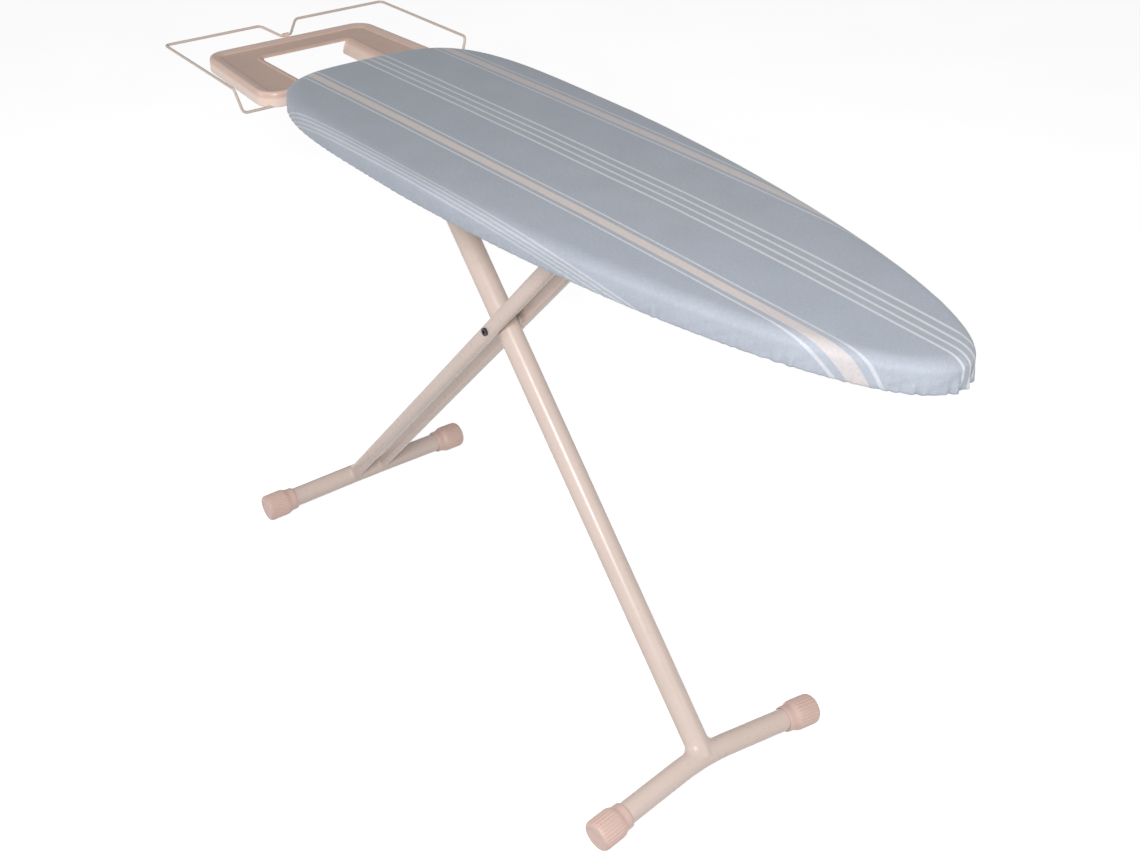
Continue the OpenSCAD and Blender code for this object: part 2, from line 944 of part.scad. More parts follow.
// Plastic grip moulded over the tang
module lever_grip() {
    slot = 0.1;
    color([0.35, 0.36, 0.38])
        translate([tang_x, lever_y, lever_low])
            rotate([0, 0, tang_turn])
                difference() {
                    translate([14, lever_t / 2 - 6.5, -4])
                        rounded_block(90, 13, 22, 5);
                    translate([13, -slot, -slot])
                        cube([tang_l - 13 + 2 * slot, lever_t + 2 * slot, tang_h + 2 * slot]);
                }
}

// Block with its long edges rounded
module rounded_block(l, w, h, r) {
    rotate([90, 0, 90])
        linear_extrude(l) {
            translate([r, 0])
                square([w - 2 * r, h]);
            translate([0, r])
                square([w, h - 2 * r]);
            for (x = [r, w - r], y = [r, h - r])
                translate([x, y])
                    circle(r);
        }
}

module lever_pin() {
    color(bare_steel)
        translate([lever_x, 0, lever_z]) {
            bar_y(3, rail_in - 0.3, lever_y + lever_t + 1.4);
            bar_y(5.5, rail_in - 1.8, rail_in - 0.1);
            bar_y(5.5, lever_y + lever_t + 0.4, lever_y + lever_t + 2);
        }
}

module lever_spacer() {
    color(nylon)
        translate([lever_x, 0, lever_z])
            ring_y(4.4, 3.05, rail_out + 0.1, lever_y - 0.3);
}

spring_r = 6;
spring_wire = 0.7;
spring_turns = 3;
spring_steps = 12;

// Centre of the return spring's wire, a coil round the spacer with a straight leg each way
function spring_path() =
    let (pitch = (lever_y - rail_out - 2 * spring_wire - 0.8) / spring_turns,
         y0 = rail_out + spring_wire + 0.3,
         n = spring_turns * spring_steps)
    [for (i = [0:n])
        let (a = 360 * i / spring_steps)
        [spring_r * cos(a), y0 + pitch * i / spring_steps, spring_r * sin(a)]];

module lever_spring() {
    color(bare_steel)
        translate([lever_x, 0, lever_z])
            wire_sweep(spring_path(), spring_wire, 6);
}

board_panel();
pad();
cover();
stiffener_left();
stiffener_right();
guide_rail_left();
guide_rail_right();
hinge_bracket();
hinge_pin();
hinge_pin_caps();
tray_support_left();
tray_support_right();
iron_tray();
tray_screws();
wire_rack();
rack_clips();
rack_rear_clip();
frame_rivets();
lever_pin();
lever_spring();
lever_spacer();
main_leg_tube();
front_foot_bar();
front_cap_left();
front_cap_right();
hinge_bushes();
main_leg_plug();
pivot_sleeve();
twin_tube_left();
twin_tube_right();
rear_foot_bar();
rear_cap_left();
rear_cap_right();
pivot_bolt();
pivot_nut();
pivot_washers();
slide_axle();
axle_sleeve();
slide_bushes();
axle_caps();
twin_tube_plugs();
lever_plate();
lever_grip();
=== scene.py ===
"""Looks of the folding ironing board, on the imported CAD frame. Metres, +Z up, +X towards the nose."""

import json
import math

import bmesh
import bpy
import numpy as np
from mathutils import Matrix, Vector


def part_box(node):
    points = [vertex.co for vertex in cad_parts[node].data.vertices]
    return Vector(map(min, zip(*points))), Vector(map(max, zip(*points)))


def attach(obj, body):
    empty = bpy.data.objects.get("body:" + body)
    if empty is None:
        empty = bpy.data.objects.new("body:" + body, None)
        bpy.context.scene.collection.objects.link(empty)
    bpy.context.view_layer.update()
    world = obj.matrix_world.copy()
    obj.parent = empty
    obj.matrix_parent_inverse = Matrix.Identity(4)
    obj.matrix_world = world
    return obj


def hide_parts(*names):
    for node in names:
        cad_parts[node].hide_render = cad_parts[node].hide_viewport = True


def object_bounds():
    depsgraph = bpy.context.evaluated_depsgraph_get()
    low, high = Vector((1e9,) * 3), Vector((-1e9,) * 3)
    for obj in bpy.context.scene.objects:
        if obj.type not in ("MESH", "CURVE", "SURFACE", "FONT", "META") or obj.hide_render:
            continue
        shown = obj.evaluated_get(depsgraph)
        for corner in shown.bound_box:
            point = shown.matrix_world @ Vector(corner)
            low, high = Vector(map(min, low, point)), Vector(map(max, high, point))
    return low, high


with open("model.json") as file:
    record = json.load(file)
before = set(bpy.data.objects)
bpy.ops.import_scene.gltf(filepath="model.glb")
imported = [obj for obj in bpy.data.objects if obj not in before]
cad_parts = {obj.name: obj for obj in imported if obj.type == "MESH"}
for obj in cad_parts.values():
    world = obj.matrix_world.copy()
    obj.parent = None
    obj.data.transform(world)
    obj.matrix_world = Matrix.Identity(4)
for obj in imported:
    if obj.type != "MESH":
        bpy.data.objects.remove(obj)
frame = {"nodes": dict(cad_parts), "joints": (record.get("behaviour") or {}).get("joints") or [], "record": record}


def plain(box):
    """A box as plain lists of numbers."""
    return [[float(c) for c in corner] for corner in box]


cad_box = plain(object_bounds())

# ---------------------------------------------------------------- sizes, with places from the nodes

cover_low, cover_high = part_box("cover")
pad_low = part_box("pad")[0]
tray_low, tray_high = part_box("iron_tray")
rack_low, rack_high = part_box("wire_rack")
joints = {j["name"]: j for j in frame["joints"]}
hinge = Vector(joints["main_fold"]["pos_m"])
crossing = Vector(joints["cross_pivot"]["pos_m"])

# The legs: how far each leans, and where the twin leg's axle is
LEG_TURN = math.atan2(crossing.x - hinge.x, hinge.z - crossing.z)
AXLE_Z = hinge.z
TWIN_AXLE_X = 2 * crossing.x - hinge.x

# The board's outline: two half superellipses that meet where the board is widest
NOSE_X, TAIL_X = cover_high.x, cover_low.x
HALF_W = cover_high.y
WIDE_SHARE = 0.352
WIDE_X = TAIL_X + WIDE_SHARE * (NOSE_X - TAIL_X)
NOSE_EXP, TAIL_EXP = (1.6, 2.0), (4.3, 3.7)

# The cover: its levels, the hem's width under the rim and its fold's radius, how much lower it hangs
# at the nose, the cloth's thickness, and the width and drop of the soft edge and of the crown
TOP_Z, HEM_Z = cover_high.z, cover_low.z
HEM_LIP, HEM_FOLD = 0.026, 0.0035
NOSE_HANG = 0.0035
CLOTH_THICK = 0.0006
ROLL_WIDE, ROLL_DEEP = 0.024, 0.012
CROWN_WIDE, CROWN = 0.052, 0.0008

# The pad: how far its top lies below the cover's
PAD_BELOW = 0.0016

# The foot bars: radius, half the bend's width, how far out a cap ends, the arms' slopes, and the
# caps' length
BAR_R = 0.0175
BEND_HALF = 0.05
FOOT_HALF = 0.216
FRONT_SLOPE, REAR_SLOPE = math.radians(6.5), math.radians(3.4)
CAP_L = 0.058

TRAY_TOP = tray_high.z

rng = np.random.default_rng(7)


# ---------------------------------------------------------------- mesh helpers

def mesh_object(name, verts, faces, material, flat=None):
    """A smooth-shaded mesh object, with the flat cloth's coordinates as its UV map if given."""
    mesh = bpy.data.meshes.new(name)
    mesh.from_pydata([tuple(v) for v in verts], [], [tuple(f) for f in faces])
    work = bmesh.new()
    work.from_mesh(mesh)
    bmesh.ops.recalc_face_normals(work, faces=work.faces)
    work.to_mesh(mesh)
    work.free()
    mesh.polygons.foreach_set("use_smooth", [True] * len(mesh.polygons))
    if flat is not None:
        corner = np.zeros(len(mesh.loops), np.int64)
        mesh.loops.foreach_get("vertex_index", corner)
        layer = mesh.uv_layers.new(name="flat")
        layer.data.foreach_set("uv", np.asarray(flat, float)[corner].ravel())
    mesh.materials.append(material)
    obj = bpy.data.objects.new(name, mesh)
    bpy.context.scene.collection.objects.link(obj)
    return obj


def grid_faces(rows, cols, start=0, close_rows=False, close_cols=True):
    """Quads over rows of cols points each, numbered row by row from start."""
    faces = []
    for r in range(rows if close_rows else rows - 1):
        for c in range(cols if close_cols else cols - 1):
            a, b = start + r * cols, start + (r + 1) % rows * cols
            d = (c + 1) % cols
            faces.append((a + c, b + c, b + d, a + d))
    return faces


def sweep(points, radius, sides=18):
    """Vertices and faces of a round wire along points, with domed ends."""
    points = np.asarray(points, float)
    along = np.gradient(points, axis=0)
    along /= np.linalg.norm(along, axis=1)[:, None]
    angle = np.arange(sides) * 2 * math.pi / sides
    verts, side = [], np.array([0.0, 0.0, 1.0])
    rings = [(0, -0.9, 0.4), (0, -0.6, 0.8)]
    rings += [(i, 0, 1) for i in range(len(points))]
    rings += [(len(points) - 1, 0.6, 0.8), (len(points) - 1, 0.9, 0.4)]
    for i, ahead, size in rings:
        side = side - along[i] * (side @ along[i])
        side /= np.linalg.norm(side)
        across = np.cross(along[i], side)
        centre = points[i] + along[i] * ahead * radius
        verts += [centre + radius * size * (math.cos(a) * side + math.sin(a) * across)
                  for a in angle]
    faces = grid_faces(len(rings), sides)
    faces.append(tuple(range(sides)))
    faces.append(tuple(reversed(range((len(rings) - 1) * sides, len(rings) * sides))))
    return verts, faces


def rounded_path(corners, steps=9):
    """Points of a path whose corners (x, y, z, setback) are rounded."""
    points = []
    for i, (x, y, z, back) in enumerate(corners):
        b = np.array([x, y, z])
        if back == 0:
            points.append(b)
            continue
        a, c = np.array(corners[i - 1][:3]), np.array(corners[i + 1][:3])
        p = b + back * (a - b) / np.linalg.norm(a - b)
        q = b + back * (c - b) / np.linalg.norm(c - b)
        for t in np.linspace(0, 1, steps):
            points.append((1 - t) ** 2 * p + 2 * t * (1 - t) * b + t * t * q)
    return np.array(points)


def filled_path(points, step=0.006):
    """The same path with long straight stretches divided."""
    out = [points[0]]
    for a, b in zip(points[:-1], points[1:]):
        n = max(1, int(np.linalg.norm(b - a) / step))
        out += [a + (b - a) * k / n for k in range(1, n + 1)]
    return np.array(out)


# ---------------------------------------------------------------- material helpers

class Nodes:
    """Short forms for building a material's node tree."""

    def __init__(self, name):
        self.material = bpy.data.materials.new(name)
        self.material.use_nodes = True
        self.tree = self.material.node_tree
        self.tree.nodes.clear()
        self.out = self.tree.nodes.new("ShaderNodeOutputMaterial")
        self.shader = self.tree.nodes.new("ShaderNodeBsdfPrincipled")
        self.link(self.shader.outputs[0], self.out.inputs["Surface"])

    def link(self, a, b):
        self.tree.links.new(a, b)

    def put(self, socket, value):
        """Links a socket's value into another socket, or sets a plain value."""
        if isinstance(value, bpy.types.NodeSocket):
            self.link(value, socket)
        else:
            socket.default_value = value

    def set(self, **sockets):
        """Sets the shader's sockets; an underscore in a name stands for a space."""
        for name, value in sockets.items():
            self.put(self.shader.inputs[name.replace("_", " ")], value)

    def math(self, kind, *values):
        node = self.tree.nodes.new("ShaderNodeMath")
        node.operation = kind
        for socket, value in zip(node.inputs, values):
            self.put(socket, value)
        return node.outputs[0]

    def object_place(self):
        """Where a point is on the object, in metres."""
        return self.tree.nodes.new("ShaderNodeTexCoord").outputs["Object"]

    def flat_place(self):
        """Where a point is on the flat cloth, in metres."""
        node = self.tree.nodes.new("ShaderNodeUVMap")
        node.uv_map = "flat"
        return node.outputs[0]

    def parts(self, vector):
        node = self.tree.nodes.new("ShaderNodeSeparateXYZ")
        self.link(vector, node.inputs[0])
        return node.outputs

    def stretch(self, vector, scale):
        node = self.tree.nodes.new("ShaderNodeMapping")
        self.link(vector, node.inputs["Vector"])
        node.inputs["Scale"].default_value = scale
        return node.outputs[0]

    def noise(self, vector, scale, detail=3, rough=0.5):
        node = self.tree.nodes.new("ShaderNodeTexNoise")
        self.link(vector, node.inputs["Vector"])
        node.inputs["Scale"].default_value = scale
        node.inputs["Detail"].default_value = detail
        node.inputs["Roughness"].default_value = rough
        return node.outputs["Fac"]

    def map(self, value, low, high, to_low, to_high):
        """Maps low..high to to_low..to_high, and holds it at both ends."""
        node = self.tree.nodes.new("ShaderNodeMapRange")
        node.clamp = True
        for socket, v in zip(node.inputs, (value, low, high, to_low, to_high)):
            self.put(socket, v)
        return node.outputs[0]

    def mix(self, share, a, b, kind="MIX"):
        node = self.tree.nodes.new("ShaderNodeMix")
        node.data_type, node.blend_type = "RGBA", kind
        sockets = [s for s in node.inputs if s.type == "RGBA"]
        self.put(node.inputs[0], share)
        self.put(sockets[0], a)
        self.put(sockets[1], b)
        return [s for s in node.outputs if s.type == "RGBA"][0]

    def bump(self, height, strength, distance):
        node = self.tree.nodes.new("ShaderNodeBump")
        node.inputs["Strength"].default_value = strength
        node.inputs["Distance"].default_value = distance
        self.link(height, node.inputs["Height"])
        self.link(node.outputs[0], self.shader.inputs["Normal"])

    def near(self, value, half, soft):
        """1 where value's size is below half, and 0 beyond half plus soft."""
        return self.map(self.math("ABSOLUTE", value), half, half + soft, 1.0, 0.0)


def tone(r, g, b):
    return (r, g, b, 1.0)


def shades(n, colour, spread, place, scale):
    """A colour that drifts a little lighter and darker over the surface."""
    dark = tone(*[c * (1 - spread) for c in colour])
    light = tone(*[min(1, c * (1 + spread)) for c in colour])
    return n.mix(n.map(n.noise(place, scale), 0.3, 0.7, 0.0, 1.0), dark, light)


# ---------------------------------------------------------------- materials

# The cotton's colours
BASE_CLOTH = (0.372, 0.404, 0.462)
BAND_CLOTH = (0.63, 0.555, 0.525)
LINE_CLOTH = (0.60, 0.61, 0.64)

# The print, across the cloth: the bands' spacing, the near band's place and half its width
REPEAT, BAND_AT, BAND_HALF = 0.234, -0.0855, 0.0062
# Each kind of line, by its distances from the middle of its group and half its width: one on each
# side of a band, four between the bands, and four fine ones at a distance outside them
FLANK_AT, FLANK_HALF = 0.0140, 0.0012
GROUP_AT, GROUP_HALF = (0.0071, 0.0213), 0.0017
FINE_AT, FINE_HALF, FINE_OFF = (0.0026, 0.0078), 0.0009, 0.2175
# The softness of a print's edge, and the weave's spacing
PRINT_EDGE, THREAD = 0.0006, 0.0009


def printed(n, place, x, y):
    """How much of the lines' and of the bands' colour shows at a place on the flat cloth."""
    wander = n.math("MULTIPLY", n.math("SUBTRACT", n.noise(place, 9, 1), 0.5), 0.0012)
    from_band = n.math("WRAP", n.math("ADD", n.math("SUBTRACT", y, BAND_AT), wander),
                       REPEAT / 2, -REPEAT / 2)
    across = n.math("ABSOLUTE", from_band)
    from_group = n.math("SUBTRACT", REPEAT / 2, across)
    band = n.near(from_band, BAND_HALF, PRINT_EDGE)
    flank = n.near(n.math("SUBTRACT", across, FLANK_AT), FLANK_HALF, PRINT_EDGE)
    inner, outer = (n.near(n.math("SUBTRACT", from_group, at), GROUP_HALF, PRINT_EDGE)
                    for at in GROUP_AT)
    from_middle = n.math("ABSOLUTE", n.math("SUBTRACT", y, BAND_AT + REPEAT / 2))
    central = n.map(from_middle, 0.08, 0.081, 1.0, 0.0)
    group = n.math("MULTIPLY", n.math("MAXIMUM", inner, outer), central)
    from_fine = n.math("ABSOLUTE", n.math("SUBTRACT", from_middle, FINE_OFF))
    fine = n.math("MAXIMUM", *[n.near(n.math("SUBTRACT", from_fine, at), FINE_HALF, PRINT_EDGE)
                               for at in FINE_AT])
    lines = n.math("MAXIMUM", flank, n.math("MAXIMUM", group, fine))
    # The print is paler towards the cloth's sides, and outside the middle lines towards the nose
    off_line = n.math("ABSOLUTE", y)
    at_nose = n.math("MAXIMUM", n.map(x, 0.48, 0.68, 1.0, 0.6),
                     n.map(off_line, 0.058, 0.070, 1.0, 0.0))
    paler = n.math("MULTIPLY", n.map(off_line, 0.10, 0.19, 1.0, 0.5), at_nose)
    return n.math("MULTIPLY", lines, paler), n.math("MULTIPLY", band, paler)


def striped_cotton():
    """Blue-grey plain weave: pink-cream bands, four pale lines between, four fine ones outside."""
    n = Nodes("striped_cotton")
    place = n.flat_place()
    x, y, _ = n.parts(place)
    lines, band = printed(n, place, x, y)
    base = shades(n, BASE_CLOTH, 0.035, place, 14)
    cloth = n.mix(lines, base, tone(*LINE_CLOTH))
    cloth = n.mix(band, cloth, tone(*BAND_CLOTH))
    turn = 2 * math.pi / THREAD
    warp = n.math("SINE", n.math("MULTIPLY", y, turn))
    weft = n.math("SINE", n.math("MULTIPLY", x, turn))
    weave = n.math("MULTIPLY", warp, weft)
    slub = n.noise(n.stretch(place, (160, 1500, 1)), 1.0, 2)
    cross = n.noise(n.stretch(place, (1500, 160, 1)), 1.0, 2)
    yarn = n.math("MULTIPLY", n.math("ADD", slub, cross), 0.5)
    grain = n.map(yarn, 0.3, 0.7, 0.84, 1.14)
    grain = n.math("MULTIPLY", grain, n.map(weave, -1, 1, 0.95, 1.05))
    n.set(Base_Color=n.mix(1.0, cloth, grain, "MULTIPLY"), Roughness=0.88,
          Sheen_Weight=0.18, Sheen_Roughness=0.45, Specular_IOR_Level=0.25)
    height = n.math("ADD", n.math("MULTIPLY", weave, 0.5), yarn)
    n.bump(height, 0.35, 0.0002)
    return n.material


def felt():
    """Pressed needle felt with flecks."""
    n = Nodes("felt")
    place = n.object_place()
    fleck = n.noise(place, 420, 6, 0.7)
    base = shades(n, (0.74, 0.72, 0.67), 0.05, place, 30)
    n.set(Base_Color=n.mix(n.map(fleck, 0.62, 0.7, 0.0, 0.6), base, tone(0.42, 0.42, 0.42)),
          Roughness=0.95, Sheen_Weight=0.3, Sheen_Roughness=0.5)
    n.bump(fleck, 0.6, 0.0005)
    return n.material


def paint(name, colour, rough):
    """Powder paint: a little orange peel, uneven gloss and faint handling marks."""
    n = Nodes(name)
    place = n.object_place()
    base = shades(n, colour, 0.022, place, 16)
    marks = n.map(n.noise(n.stretch(place, (1, 1, 0.4)), 55, 6, 0.62), 0.66, 0.80, 0.0, 0.07)
    gloss = n.map(n.noise(place, 90, 3), 0.3, 0.7, rough - 0.05, rough + 0.06)
    n.set(Base_Color=n.mix(marks, base, tone(0.30, 0.22, 0.18)), Roughness=gloss,
          Coat_Weight=0.06, Coat_Roughness=0.22, Specular_IOR_Level=0.32)
    n.bump(n.noise(place, 600, 2), 0.025, 0.0001)
    return n.material


def moulded(name, colour, rough, coarse=600):
    """Moulded plastic with a fine spark-eroded texture and cloudy tint."""
    n = Nodes(name)
    place = n.object_place()
    cloud = shades(n, colour, 0.03, place, 40)
    fine = n.noise(place, coarse, 4, 0.6)
    rub = n.map(n.noise(place, 120, 5, 0.6), 0.60, 0.78, 0.0, 0.12)
    n.set(Base_Color=n.mix(rub, cloud, tone(*[min(1, c * 1.25) for c in colour])),
          Roughness=n.map(fine, 0.3, 0.7, rough - 0.06, rough + 0.06))
    n.bump(fine, 0.16, 0.0002)
    return n.material


def tray_plastic():
    """The tray's moulded plastic: matt taupe, with painted sheen and light as a paler colour on the rim's crest
    and down the skirt.
    """
    n = Nodes("tray_plastic")
    place = n.object_place()
    _, _, z = n.parts(place)
    floor = shades(n, (0.66, 0.455, 0.375), 0.03, place, 40)
    # Painted sheen and light: a paler colour than the plastic's own taupe, for the skirt and the rim's crest
    skirt_sheen = shades(n, (0.80, 0.63, 0.55), 0.02, place, 30)
    # Where the painted sheen goes: partly on the rim's crest, fully down the skirt
    rim = n.map(z, TRAY_TOP - 0.0046, TRAY_TOP - 0.0012, 0.0, 0.55)
    wall = n.map(z, TRAY_TOP - 0.0120, TRAY_TOP - 0.0070, 1.0, 0.0)
    share = n.math("MAXIMUM", rim, wall)
    fine = n.noise(place, 700, 4, 0.6)
    n.set(Base_Color=n.mix(share, floor, skirt_sheen), Coat_Weight=0.25, Coat_Roughness=0.25,
          Roughness=n.map(fine, 0.3, 0.7, 0.34, 0.46))
    n.bump(fine, 0.12, 0.0002)
    return n.material


def metal(name, colour, rough):
    """Bare or plated metal with drawn marks and dull spots."""
    n = Nodes(name)
    place = n.object_place()
    drawn = n.noise(n.stretch(place, (1, 1, 30)), 60, 4, 0.6)
    spots = n.map(n.noise(place, 160, 5, 0.65), 0.58, 0.74, 0.0, 0.45)
    base = n.mix(spots, shades(n, colour, 0.06, place, 45), tone(*[c * 0.72 for c in colour]))
    n.set(Base_Color=base, Metallic=1.0,
          Roughness=n.map(drawn, 0.3, 0.7, rough - 0.07, rough + 0.09))
    n.bump(drawn, 0.12, 0.0001)
    return n.material


MATERIALS = {
    "cotton": striped_cotton(),
    "felt": felt(),
    "panel_paint": paint("panel_paint", (0.60, 0.56, 0.52), 0.42),
    "frame_paint": paint("frame_paint", (0.66, 0.55, 0.49), 0.38),
    "leg_paint": paint("leg_paint", (0.68, 0.555, 0.495), 0.30),
    "zinc": metal("zinc", (0.55, 0.56, 0.57), 0.34),
    "black_steel": metal("black_steel", (0.07, 0.07, 0.075), 0.42),
    "spring_steel": metal("spring_steel", (0.42, 0.42, 0.43), 0.30),
    "rack_wire": paint("rack_wire", (0.60, 0.50, 0.44), 0.18),
    "tray_plastic": tray_plastic(),
    "foot_plastic": moulded("foot_plastic", (0.69, 0.49, 0.43), 0.40),
    "nylon": moulded("nylon", (0.72, 0.71, 0.66), 0.40, 300),
    "grip_plastic": moulded("grip_plastic", (0.085, 0.09, 0.10), 0.45),
}


def dress_cad_nodes():
    """Gives every CAD node the material of its slot in the record."""
    for part in frame["record"]["subparts"]:
        node = frame["nodes"][part["node"]]
        node.data.materials.clear()
        node.data.materials.append(MATERIALS[part["material_slot"]])


# ---------------------------------------------------------------- cover and pad

def outline_turns(count):
    """The outline's parameter from tail (0) to nose (2) at evenly spaced places."""
    fine = np.linspace(0, 2, 12001)
    points = board_outline(fine, 0.0)
    run = np.concatenate([[0], np.cumsum(np.linalg.norm(np.diff(points, axis=0), axis=1))])
    return np.interp(np.linspace(0, run[-1], count + 1), run, fine)


def board_outline(turns, margin):
    """Points of the board's +Y half, drawn in by a margin: 0 to 1 is the tail, 1 to 2 the nose."""
    t = np.where(turns <= 1, 1 - turns, turns - 1) * math.pi / 2
    nose = turns > 1
    a = np.where(nose, NOSE_X - WIDE_X, WIDE_X - TAIL_X) - margin
    ex = np.where(nose, NOSE_EXP[0], TAIL_EXP[0])
    ey = np.where(nose, NOSE_EXP[1], TAIL_EXP[1])
    x = a * np.maximum(np.sin(t), 0) ** (2 / ex)
    y = (HALF_W - margin) * np.maximum(np.cos(t), 0) ** (2 / ey)
    return np.stack([np.where(nose, WIDE_X + x, WIDE_X - x), y], 1)


def around(turns, margin):
    """The whole outline as one ring: +Y side from the tail to the nose, then back on -Y."""
    half = board_outline(turns, margin)
    other = half[-2:0:-1] * [1, -1]
    return np.concatenate([half, other])


def cloth_bow(x, y):
    """How far the cloth's stripes lie off a straight line along the board."""
    tail = -0.018 * (np.maximum(0.30 - x, 0) / 0.72) ** 1.5
    nose = -0.008 * (np.maximum(x - 0.32, 0) / 0.30) ** 2
    return tail + nose * (0.15 + 0.85 * np.clip((y + 0.07) / 0.09, 0, 1))


def ripple(run, waves, low, high):
    """Irregular gathers along a run: a seeded sum of waves between two wavelengths."""
    total = np.zeros_like(run)
    for length in np.linspace(low, high, waves):
        total += np.sin(run * 2 * math.pi / length + rng.uniform(0, 2 * math.pi))
    return total / math.sqrt(waves)


def spine_rings(turns, margin, steps):
    """Rows of points from an outline towards the board's middle line, which comes last."""
    outer = around(turns, margin)
    share = np.linspace(0, 1, len(turns))
    middle = np.stack([TAIL_X + 0.17 + share * (NOSE_X - TAIL_X - 0.36), 0 * share], 1)
    both = np.concatenate([middle, middle[-2:0:-1]])
    rows = [both + (outer - both) * k for k in np.linspace(1, 0, steps + 1)[1:-1]]
    return rows, middle


def close_to_spine(verts, faces, rows, middle, z, last):
    """Adds the inner rows at a height and joins the last one to the shared middle line."""
    ring, count, start = len(rows[0]), len(middle) - 1, len(verts)
    for row in rows:
        verts.extend([x, y, z] for x, y in row)
    faces += [(last + c, start + c, start + (c + 1) % ring, last + (c + 1) % ring)
              for c in range(ring)]
    faces += grid_faces(len(rows), ring, start)
    base, line = start + (len(rows) - 1) * ring, len(verts)
    verts.extend([x, y, z] for x, y in middle)
    for c in range(ring):
        p, q = (k if k <= count else ring - k for k in (c, c + 1))
        faces.append((base + c, line + p, line + q, base + (c + 1) % ring))


def crown_drop(margin):
    """How far the cloth lies below its highest level at a distance in from the edge."""
    return CROWN * np.clip((CROWN_WIDE - margin) / CROWN_WIDE, 0, 1) ** 2


def roll_drop(margin):
    """Drop of the soft rolled edge, crown included, at a distance in from the edge."""
    share = np.clip((ROLL_WIDE - margin) / ROLL_WIDE, 0, 1)
    return ROLL_DEEP * (1 - np.sqrt(1 - share ** 2)) + crown_drop(margin)


def roll_extra(turn):
    """Cloth length used up by the roll, beyond its width in plan, down to an angle in degrees."""
    a = np.radians(np.linspace(0, turn, 200))
    across, down = ROLL_WIDE * np.sin(a), ROLL_DEEP * (1 - np.cos(a))
    return float(np.sum(np.hypot(np.diff(across), np.diff(down)))) - float(across[-1])


def make_cover():
    """Striped cotton over the pad: crowned top, soft edge, gathered hem turned under the rim."""
    turns = outline_turns(500)
    edge = around(turns, 0)
    n = len(edge)
    out = outward(turns)
    run = np.concatenate([[0], np.cumsum(np.linalg.norm(np.diff(edge, axis=0), axis=1))])
    curve = np.clip(turning(out) / 0.10, 0.12, 1.0)
    curve *= 1 + 0.8 * np.clip((edge[:, 0] - 0.35) / 0.2, 0, 1)
    gathers = ripple(run, 9, 0.009, 0.021)
    creases = ripple(run, 7, 0.03, 0.085)
    pulls = ripple(run, 8, 0.016, 0.050)
    depth = TOP_Z - HEM_Z + NOSE_HANG * np.clip((edge[:, 0] - 0.05) / 0.35, 0, 1)
    fold = HEM_FOLD
    side_top = ROLL_DEEP + CROWN
    wrap = roll_extra(90)
    points, flats = [], []

    def ring(plan, drop, flat, sway=0.0):
        """One ring: its plan, its drop below the top and its place in the flat cloth."""
        sway = np.reshape(np.broadcast_to(sway, n), (-1, 1))
        points.append(np.column_stack([plan + out * sway, np.full(n, TOP_Z) - drop]))
        flats.append(flat)

    def past_edge(length):
        """Where a point lies in the flat cloth, by its length of cloth below the top's level."""
        return edge + out * (wrap + np.reshape(length, (-1, 1)) - side_top)

    for margin, share in ((HEM_LIP, 1.0), (0.018, 0.9), (0.010, 0.6)):
        ring(around(turns, margin), depth - 0.0012 * (margin > 0.02),
             past_edge(depth + margin), 0.0009 * share * gathers * curve)
    for turn in (75, 45, 15):
        a = math.radians(turn)
        ring(edge - out * (fold * (1 - math.cos(a)) + 0.0002), depth - fold * (1 - math.sin(a)),
             past_edge(depth - fold + fold * a), 0.0013 * curve * gathers)
    for share in (0.94, 0.82, 0.70, 0.57, 0.44, 0.31, 0.18, 0.07):
        fall = side_top + (depth - fold - side_top) * share
        lean = np.roll(pulls, round(16 * share))
        ring(edge - out * 0.0002, fall, past_edge(fall),
             0.0014 * share ** 1.6 * curve * gathers + 0.0004 * share * creases
             + 0.00035 * math.sin(math.pi * share) * lean + 0.0006 * math.sin(math.pi * share))
    for turn in (82, 72, 62, 52, 42, 32, 22, 12, 3):
        margin = ROLL_WIDE * (1 - math.sin(math.radians(turn)))
        scaled = margin / ROLL_WIDE
        plan = (edge - out * margin) * (1 - scaled) + around(turns, margin) * scaled
        ring(plan, roll_drop(margin), plan + out * roll_extra(turn), 0.0002 * creases * turn / 90)
    for margin in (0.0285, 0.034, 0.042):
        plan = around(turns, margin)
        ring(plan, crown_drop(margin), plan)
    verts = [p for r in points for p in r]
    faces = grid_faces(len(points), n)
    rows, middle = spine_rings(turns, CROWN_WIDE, 9)
    rows.insert(0, around(turns, CROWN_WIDE))
    close_to_spine(verts, faces, rows, middle, TOP_Z, (len(points) - 1) * n)
    verts = np.array(verts, float)
    flat = np.concatenate(flats + [verts[len(points) * n:, :2]])
    flat[:, 1] -= cloth_bow(flat[:, 0], flat[:, 1])
    near_top = np.clip(1 - (TOP_Z - verts[:, 2]) / 0.008, 0, 1)
    verts[:, 2] -= near_top * (0.0004 + 0.0004 * wavy(verts[:, 0], verts[:, 1]))
    obj = mesh_object("board_cover", verts, faces, MATERIALS["cotton"], flat)
    thick = obj.modifiers.new("thickness", "SOLIDIFY")
    thick.thickness, thick.offset = CLOTH_THICK, -1
    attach(obj, "board")
    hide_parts("cover")


def outward(turns):
    """The outward direction, in plan, at each point of the outline."""
    out = around(turns, 0) - around(turns, 0.012)
    return out / np.linalg.norm(out, axis=1)[:, None]


def turning(out):
    """How sharply the outline turns at each point, smoothed."""
    bend = np.linalg.norm(np.roll(out, -4, 0) - np.roll(out, 4, 0), axis=1)
    wide = np.convolve(np.tile(bend, 3), np.ones(41) / 41, "same")
    return wide[len(bend):2 * len(bend)]


def wavy(x, y):
    """Faint unevenness of cloth over felt, from about -1 to 1."""
    total = np.zeros_like(x)
    for scale, weight in ((7, 0.5), (13, 0.3), (29, 0.2)):
        a, b = rng.uniform(0, 6, 2)
        total += weight * np.sin(scale * x * 2 + a + 2 * np.sin(scale * y + b)) * np.cos(scale * y + a)
    return total


